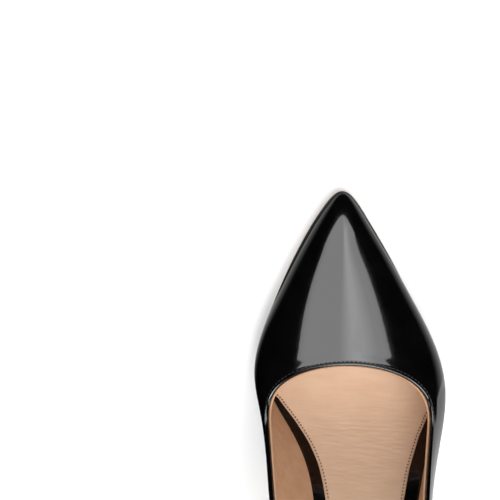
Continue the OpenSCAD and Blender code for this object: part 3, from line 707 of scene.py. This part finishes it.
def lining_leather():
    m = Shader("lining_leather", (0.47, 0.265, 0.15), 0.62, Specular_IOR_Level=0.3)
    m.tint(m.noise(4, 6), [(0.25, (0.43, 0.235, 0.13)), (0.75, (0.52, 0.3, 0.175))])
    m.rough(m.noise(2.5, 4), 0.5, 0.72)
    m.bump(m.noise(2.2, 5, (1, 1, 0.35)), 0.06)
    m.bump(m.cells(0.4), 0.02)
    return m.material


def suede():
    m = Shader("suede", (0.46, 0.29, 0.18), 0.95, Sheen_Weight=0.5, Sheen_Roughness=0.4)
    m.tint(m.noise(1.2, 8), [(0.3, (0.38, 0.235, 0.145)), (0.7, (0.52, 0.335, 0.215))])
    m.bump(m.noise(0.35, 8), 0.06)
    return m.material


def thread(name, color):
    m = Shader(name, color, 0.45, Specular_IOR_Level=0.4)
    m.bump(m.noise(0.12, 2, (1, 1, 1)), 0.02)
    m.rough(m.noise(0.3, 2), 0.35, 0.55)
    return m.material


def edge_paint():
    m = Shader("edge_paint", (0.012, 0.011, 0.011), 0.38, Coat_Weight=0.2, Coat_Roughness=0.2)
    m.rough(m.noise(1.5, 4), 0.3, 0.48)
    m.bump(m.noise(0.8, 5, (1, 1, 3)), 0.02)
    return m.material


def sole_leather():
    m = Shader("sole_leather", (0.55, 0.36, 0.21), 0.5, Coat_Weight=0.25, Coat_Roughness=0.25)
    m.tint(m.noise(14, 8, (1, 0.5, 1)), [(0.25, (0.5, 0.315, 0.18)), (0.75, (0.61, 0.41, 0.25))])
    m.rough(m.noise(3, 6), 0.4, 0.6)
    m.bump(m.noise(0.7, 6, (1, 0.4, 1)), 0.03)
    return m.material


def tip_plastic():
    m = Shader("tip_plastic", (0.014, 0.014, 0.015), 0.5)
    m.rough(m.noise(1.2, 5), 0.42, 0.62)
    m.bump(m.noise(0.5, 6), 0.015)
    return m.material


def board(name, dark, light, grain):
    m = Shader(name, light, 0.85, Specular_IOR_Level=0.2)
    m.tint(m.noise(grain, 8), [(0.3, dark), (0.7, light)])
    m.bump(m.noise(grain * 0.6, 6), 0.05)
    return m.material


def woven(name, dark, light):
    m = Shader(name, light, 0.9, Sheen_Weight=0.3)
    m.tint(m.noise(0.6, 4, (1, 1, 0.3)), [(0.35, dark), (0.65, light)])
    m.bump(m.noise(0.45, 3, (1, 0.3, 1)), 0.05)
    return m.material


def steel(name, roughness):
    m = Shader(name, (0.62, 0.63, 0.65), roughness, Metallic=1.0)
    m.rough(m.noise(0.8, 4, (1, 0.1, 1)), roughness * 0.8, roughness * 1.3)
    m.bump(m.noise(0.4, 3, (1, 0.08, 1)), 0.006)
    return m.material


PATENT = patent_leather("patent_leather", 1.0)
SOCK = sock_leather()
LINING = lining_leather()
SUEDE = suede()
COVER = patent_leather("patent_cover", 0.25)
EDGE = edge_paint()
SOLE = sole_leather()
TIP = tip_plastic()
SOCK_THREAD = thread("sock_thread", (0.075, 0.04, 0.024))
BLACK_THREAD = thread("black_thread", (0.012, 0.012, 0.013))

# Materials of the CAD solids that are carried over as they are
HIDDEN = {
    "bottom_filler": board("cork", (0.3, 0.18, 0.09), (0.55, 0.36, 0.2), 1.4),
    "insole_board": board("fibre_board", (0.5, 0.39, 0.25), (0.66, 0.53, 0.36), 0.8),
    "shank_board": board("hard_board", (0.2, 0.13, 0.07), (0.32, 0.21, 0.12), 0.8),
    "footbed_foam": board("foam", (0.66, 0.6, 0.4), (0.82, 0.76, 0.55), 0.5),
    "toe_puff": board("puff", (0.5, 0.46, 0.36), (0.66, 0.61, 0.48), 0.7),
    "heel_counter": board("counter", (0.42, 0.34, 0.22), (0.6, 0.5, 0.34), 0.9),
    "upper_backing": woven("backing_cloth", (0.03, 0.03, 0.032), (0.08, 0.08, 0.085)),
    "topline_tape": woven("tape", (0.6, 0.58, 0.52), (0.82, 0.8, 0.74)),
    "shank": steel("spring_steel", 0.35),
    "shank_rivets": steel("bright_steel", 0.25),
    "heel_tube": steel("tube_steel", 0.3),
    "heel_screw": steel("screw_steel", 0.28),
    "heel_nails": steel("nail_steel", 0.3),
    "top_piece_pin": steel("pin_steel", 0.25),
    "heel": board("heel_plastic", (0.012, 0.012, 0.012), (0.022, 0.022, 0.022), 1.0),
}
for node, material in HIDDEN.items():
    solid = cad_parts[node]
    solid.data.materials.clear()
    solid.data.materials.append(material)


# ---------------------------------------------------------------- pieces
# Width of the leather turned under the insole, and how far below the top line the wall's plain rows stop
UPPER_MARGIN, LINING_MARGIN, BAND_DROP, LINING_DROP = 12, 8, 7.2, 0.4
LINING_SEAM_S, GRIP_FRONT_S, GRIP_T = 6.17, 12.1, 0.7
# Stitches along the top line, and the bead outside the lining's edge
STITCH_PITCH, SEAM_DROP, PUCKER = 1.75, 1.3, 0.014
BEAD_DROP, BEAD_HALF_W, BEAD_DEPTH, BEAD_HALF_T = 0.4, 0.5, 0.82, 0.88
SOCK_STITCH_PITCH, SOCK_SEAM_INSET = 1.28, 1.15


def squared(x):
    """Sine or cosine of an oval with slightly flattened sides."""
    return math.copysign(abs(x) ** 0.8, x)


def build_upper():
    """The leather skin; it thins toward the top line and is pressed in under the stitches."""
    drops = np.array([6.6, 6, 5.2, 4.4, 3.7, 3.0, 2.4, 2.0, 1.75, 1.5, 1.3, 1.1, 0.9, 0.7])
    skived = 0.22 * smooth((5.0 - drops) / 3.2)
    groove = 0.13 * np.exp(-((drops - SEAM_DROP) / 0.3) ** 2)
    layer("upper", ring_columns(), 0.0, LEATHER_D, 0.0, MARGIN_H, UPPER_MARGIN, None, BAND_DROP, True, 46,
          PATENT, "upper", band=drops, dents=skived + groove)


def build_linings():
    """Vamp lining and two quarter linings, which meet at the seam, and the suede pocket at the back."""
    vamp_s = float(STATIONS[np.argmin(abs(STATIONS - LINING_SEAM_S))])
    for name, columns, rows in (("vamp_lining", toe_columns(vamp_s), 30),
                                ("quarter_lining_medial", side_columns(vamp_s, LAST, 1), 34),
                                ("quarter_lining_lateral", side_columns(vamp_s, LAST, -1), 34)):
        layer(name, columns, LINING_D, INSIDE_D, MARGIN_H, INSOLE_H, LINING_MARGIN, None, LINING_DROP, False,
              rows, LINING, name, crown=0.18)
    layer("heel_grip", heel_columns(GRIP_FRONT_S), INSIDE_D, INSIDE_D + GRIP_T, 0, 0, 0, 0.14, 4.0, False, 30,
          SUEDE, "heel_grip", crown=0.12)


def build_binding():
    """The bead along the top line: an oval tube with a slight pucker at every stitch."""
    s, side, length = topline_columns(1320)
    at = np.arange(len(s)) / len(s) * length
    pucker = PUCKER * np.cos(2 * math.pi * at / STITCH_PITCH)
    rings = []
    for a in np.linspace(0, 2 * math.pi, 17)[:-1]:
        drop = BEAD_DROP - BEAD_HALF_W * squared(math.cos(a))
        depth = BEAD_DEPTH - BEAD_HALF_T * squared(math.sin(a))
        k = shifted(s, drop)
        p = layer_point(k, top_edge(s, side, drop), side, depth + pucker * max(0, math.sin(a)))
        rings.append(p)
    points = np.stack(rings, 1)
    faces = grid_faces(*points.shape[:2], closed_rows=True, closed_columns=True)
    piece = make_mesh("topline_binding", points.reshape(-1, 3), faces, PATENT, "topline_binding")
    drop_loose(piece)


def build_topline_stitches():
    count = int(round(topline_columns(10)[2] / STITCH_PITCH))
    s, side, _ = topline_columns(count)
    points = topline_point(s, side, SEAM_DROP, 0.33)
    outs = face_normal(shifted(s, SEAM_DROP), np.minimum(top_edge(s, side, SEAM_DROP), 0.999), side)
    stitches("topline_stitching", points, outs, 1.3, 0.24, BLACK_THREAD, "topline_stitching")


def build_sock():
    """The padded leather sock; its stations are dense where it creases."""
    s = np.concatenate([np.linspace(SOCK_FRONT_S, 5.4, 70)[:-1], np.linspace(5.4, 10, 330)[:-1],
                        np.linspace(10, BED_BACK_S, 110)])
    near = [0, 0.08, 0.2, 0.35, 0.55, 0.7, 0.82, 0.94, 1.06, 1.18, 1.32, 1.55, 2, 3, 4.5]
    sock = slab("sock_lining", s, sock_edge(s, 1), sock_edge(s, -1), SOCK_H, TOP_H, near, sock_top, flat,
                SOCK, "sock_lining", "sock_leather", middle=34)


def build_footbed_cover():
    s = np.linspace(STRIP_FRONT_S, BED_BACK_S, 260)
    edge = [wall_point(s, side, WRAP_H, SOCK_H, BED_GAP) for side in (1, -1)]
    slab("footbed_cover", s, *edge, WRAP_H, SOCK_H, [0, 0.12, 0.3, 0.5, 0.9, 1.6], cover_top, flat,
         COVER, "footbed_cover", "patent_leather", middle=40)


def build_outsole():
    """The outsole stands out round the toe; its edge is painted black and its tread is bare leather."""
    s = BREAST_S * np.linspace(0, 1, 260) ** 1.3
    rim = np.interp(s, [0, 5, 7.5, BREAST_S], [1.2, 1.2, 0.3, 0])[:, None]
    edge = [(feather(s, side) + outward(s, side) * rim)[:, :2] for side in (1, -1)]
    near = [0, 0.12, 0.3, 0.55, 0.8, 1.4]
    outsole = slab("outsole", s, *edge, -OUTSOLE_T, 0, near, outsole_top, outsole_low,
                   EDGE, "outsole", "sole_leather", middle=30, ground=True)
    outsole.data.materials.append(SOLE)
    for polygon in outsole.data.polygons:
        polygon.material_index = 1 if polygon.normal.z < -0.55 else 0


def build_sock_stitches():
    """One row of stitches down the medial edge, round the back and up the lateral edge."""
    lines = []
    for side, start in ((1, STRIP_FRONT_S + 0.12), (-1, STRIP_FRONT_S + 0.34)):
        s = np.linspace(start, BED_BACK_S, 900)
        lines.append(np.c_[sock_edge(s, side, SOCK_SEAM_INSET), s])
    line = np.concatenate([lines[0], lines[1][::-1]])
    length = np.concatenate([[0], np.cumsum(np.linalg.norm(np.diff(line[:, :2], axis=0), axis=1))])
    at = np.arange(0, length[-1], SOCK_STITCH_PITCH)
    x, u, s = (np.interp(at, length, line[:, k]) for k in range(3))
    lu, lz = level(TOP_H)
    points = np.stack([x, u, np.interp(u, lu, lz) - 0.1], 1)
    stitches("sock_stitching", points, sole_normal(s), 0.8, 0.33, SOCK_THREAD, "sock_stitching")


def build_heel():
    """The wrap of patent leather round the heel's core, and the top piece it stands on."""
    levels = np.linspace(0, 1, 110) ** 1.25
    outer = np.stack([heel_ring(q, 0, 168) for q in levels])
    inner = np.stack([heel_ring(q, HEEL_COVER_T - 0.05, 168) for q in levels])
    tube_shell("heel_cover", outer, inner, PATENT, "heel_cover")
    base = heel_ring(1, 0, 168)
    centre = base.mean(0)
    rings = []
    for z, shrink in ((0, 0.4), (0.12, 0.16), (0.35, 0.02), (0.8, 0), (2.2, 0), (3.8, 0), (5.3, 0), (6.1, 0),
                      (6.38, 0.05), (TOP_PIECE_H, 0.2)):
        ring = centre + (base - centre) * (1 - shrink / (TIP_W / 2))
        ring[:, 2] = z
        rings.append(ring)
    ring_stack("top_piece", np.stack(rings), TIP, "top_piece")


build_upper()
build_linings()
build_binding()
build_topline_stitches()
build_sock()
build_footbed_cover()
build_outsole()
build_sock_stitches()
build_heel()


# ---------------------------------------------------------------- stage, light, camera
FLOOR_HALF, CARD_H = 10.0, 1.0


def make_stage():
    """A pale paper floor, which gloss doesn't show."""
    mesh = bpy.data.meshes.new("floor")
    corners = [(x * FLOOR_HALF, y * FLOOR_HALF, 0) for x, y in ((-1, -1), (1, -1), (1, 1), (-1, 1))]
    mesh.from_pydata(corners, [], [(0, 1, 2, 3)])
    floor = bpy.data.objects.new("floor", mesh)
    bpy.context.scene.collection.objects.link(floor)
    paper = Shader("floor_paper", (0.93, 0.93, 0.93), 0.9, Specular_IOR_Level=0.1)
    paper.bump(paper.noise(4, 3), 0.02)
    mesh.materials.append(paper.material)
    floor.visible_glossy = False


def by_side(s, side, medial, lateral):
    """Value from a table of (stations, values) for either side."""
    return np.where(side > 0, np.interp(s, *medial), np.interp(s, *lateral))


def glow_material():
    """Light as strong as the mesh's glow values say."""
    material = bpy.data.materials.new("edge_card")
    material.use_nodes = True
    tree = material.node_tree
    tree.nodes.clear()
    shine = tree.nodes.new("ShaderNodeEmission")
    level = tree.nodes.new("ShaderNodeAttribute")
    level.attribute_name = "glow"
    tree.links.new(level.outputs["Fac"], shine.inputs["Strength"])
    tree.links.new(shine.outputs[0], tree.nodes.new("ShaderNodeOutputMaterial").inputs["Surface"])
    return material


def make_edge_card():
    """A low glowing card round the shoe that draws the light line along its sides; only gloss shows it."""
    s, side = ring_columns()
    # Where the card starts and ends off the feather line, its brightness, and how evenly it glows
    start = by_side(s, side, ([0, 3.5, 5, 6.5], [5, 5, 2, -4]), ([0, 3, 4.5, 6], [3, 2, 0, -4]))
    end = by_side(s, side, ([0, 1.5, 3, 4.5, 6, 8, 11, 14], [36, 42, 34, 18, 14, 16, 26, 40]),
                  ([0, 1.5, 4, 5.85, 6.15, 7.2, 9, 11, 14], [30, 36, 38, 46, 300, 400, 400, 60, 40]))
    level = by_side(s, side, ([0, 4, 6, 9], [0.4, 0.42, 0.3, 0.6]),
                    ([0, 3, 5, 6.5, 8], [0.3, 0.4, 0.5, 0.6, 0.8]))
    even = by_side(s, side, ([0, LAST], [0, 0]), ([5.85, 6.15, 9.5, 11], [0, 1, 1, 0]))
    shares = np.array([0.0, 0.05, 0.2, 0.4, 0.6, 0.8, 1.0])
    fading = np.array([0.0, 1.0, 0.85, 0.6, 0.35, 0.12, 0.0])
    lasting = np.array([0.45, 0.6, 1.3, 1.7, 1.8, 1.8, 1.8])
    glow = level * (fading[:, None] * (1 - even) + lasting[:, None] * even)
    edge, out, n = feather(s, side), outward(s, side), len(s)
    rows = []
    for share in shares:
        plan = edge + out * (start + (end - start) * share)[:, None]
        rows.append(np.c_[plan[:, :2], np.full(n, CARD_H)])
    mesh = bpy.data.meshes.new("edge_card")
    mesh.from_pydata([tuple(p) for p in to_frame(np.concatenate(rows))], [],
                     grid_faces(len(shares), n, closed_columns=True))
    values = mesh.attributes.new("glow", "FLOAT", "POINT")
    values.data.foreach_set("value", glow.ravel().astype(np.float32))
    card = bpy.data.objects.new("edge_card", mesh)
    bpy.context.scene.collection.objects.link(card)
    mesh.materials.append(glow_material())
    card.visible_camera = card.visible_diffuse = card.visible_shadow = card.visible_transmission = False


def softbox(name, place, aim, size, radiance, color=(1, 1, 1)):
    """A rectangular light that looks equally bright from everywhere in front of it."""
    data = bpy.data.lights.new(name, "AREA")
    data.shape = "RECTANGLE"
    data.size, data.size_y = size
    data.energy = radiance * math.pi * size[0] * size[1]
    data.color = color
    light = bpy.data.objects.new(name, data)
    light.location = place
    light.rotation_euler = (Vector(aim) - Vector(place)).to_track_quat("-Z", "Y").to_euler()
    light.visible_camera = False
    bpy.context.scene.collection.objects.link(light)
    return light


def make_world():
    world = bpy.data.worlds.new("studio")
    world.use_nodes = True
    world.node_tree.nodes["Background"].inputs["Color"].default_value = (1, 1, 1, 1)
    world.node_tree.nodes["Background"].inputs["Strength"].default_value = 0.62
    world.cycles_visibility.glossy = False
    bpy.context.scene.world = world


def make_lights():
    # An upright panel in front of the toe, whose picture fills the vamp, with a soft brighter spot
    middle, cool_white = (0.045, -1.05, 1.75), (0.985, 0.98, 1.0)
    panel = softbox("front_panel", middle, (middle[0], 0, middle[2]), (2.26, 2.5), 2.5, cool_white)
    panel.visible_diffuse = False
    for k in range(4):
        spot = softbox("front_spot_%d" % k, (-0.33, -1.04 + k * 0.002, 1.12), (-0.33, 0, 1.12),
                       (0.28 + 0.2 * k, 0.3 + 0.25 * k), 0.33)
        spot.visible_diffuse = False
    # The key hangs high on the lateral side, a little behind
    softbox("key", (-0.3, 0.66, 1.45), (0, 0, 0), (1.3, 1.3), 6.6)
    # Soft fill on the floor beside the arch, and a low card whose picture lights the lateral quarter
    fill = softbox("side_fill", (0.9, 0.4, 1.0), (0, 0, 0), (1, 1), 1.3)
    fill.visible_glossy = False
    card = softbox("side_card_lateral", (-0.95, 0.42, 0.27), (0, 0.03, 0.05), (0.75, 0.5), 1.1)
    card.visible_diffuse = False
    # Dim panels to both sides and behind
    for name, x in (("side_panel_medial", 1.3), ("side_panel_lateral", -1.3)):
        softbox(name, (x, 0.25, 0.75), (0, 0.03, 0.05), (0.5, 0.9), 1.3)
    softbox("back_panel", (0.2, 1.4, 0.7), (0, 0.05, 0.08), (0.8, 0.6), 1.2)


def make_camera():
    """Straight above, with the toe up in the picture; the shoe is right of and below its middle."""
    data = bpy.data.cameras.new("camera")
    data.sensor_width = 36
    data.lens = 154.3
    camera = bpy.data.objects.new("camera", data)
    camera.location = to_frame([42, 24.57, 900])
    camera.rotation_euler = (0, 0, math.pi)
    bpy.context.scene.collection.objects.link(camera)
    bpy.context.scene.camera = camera


make_stage()
make_edge_card()
make_world()
make_lights()
make_camera()
bpy.context.scene.view_settings.view_transform = "Standard"
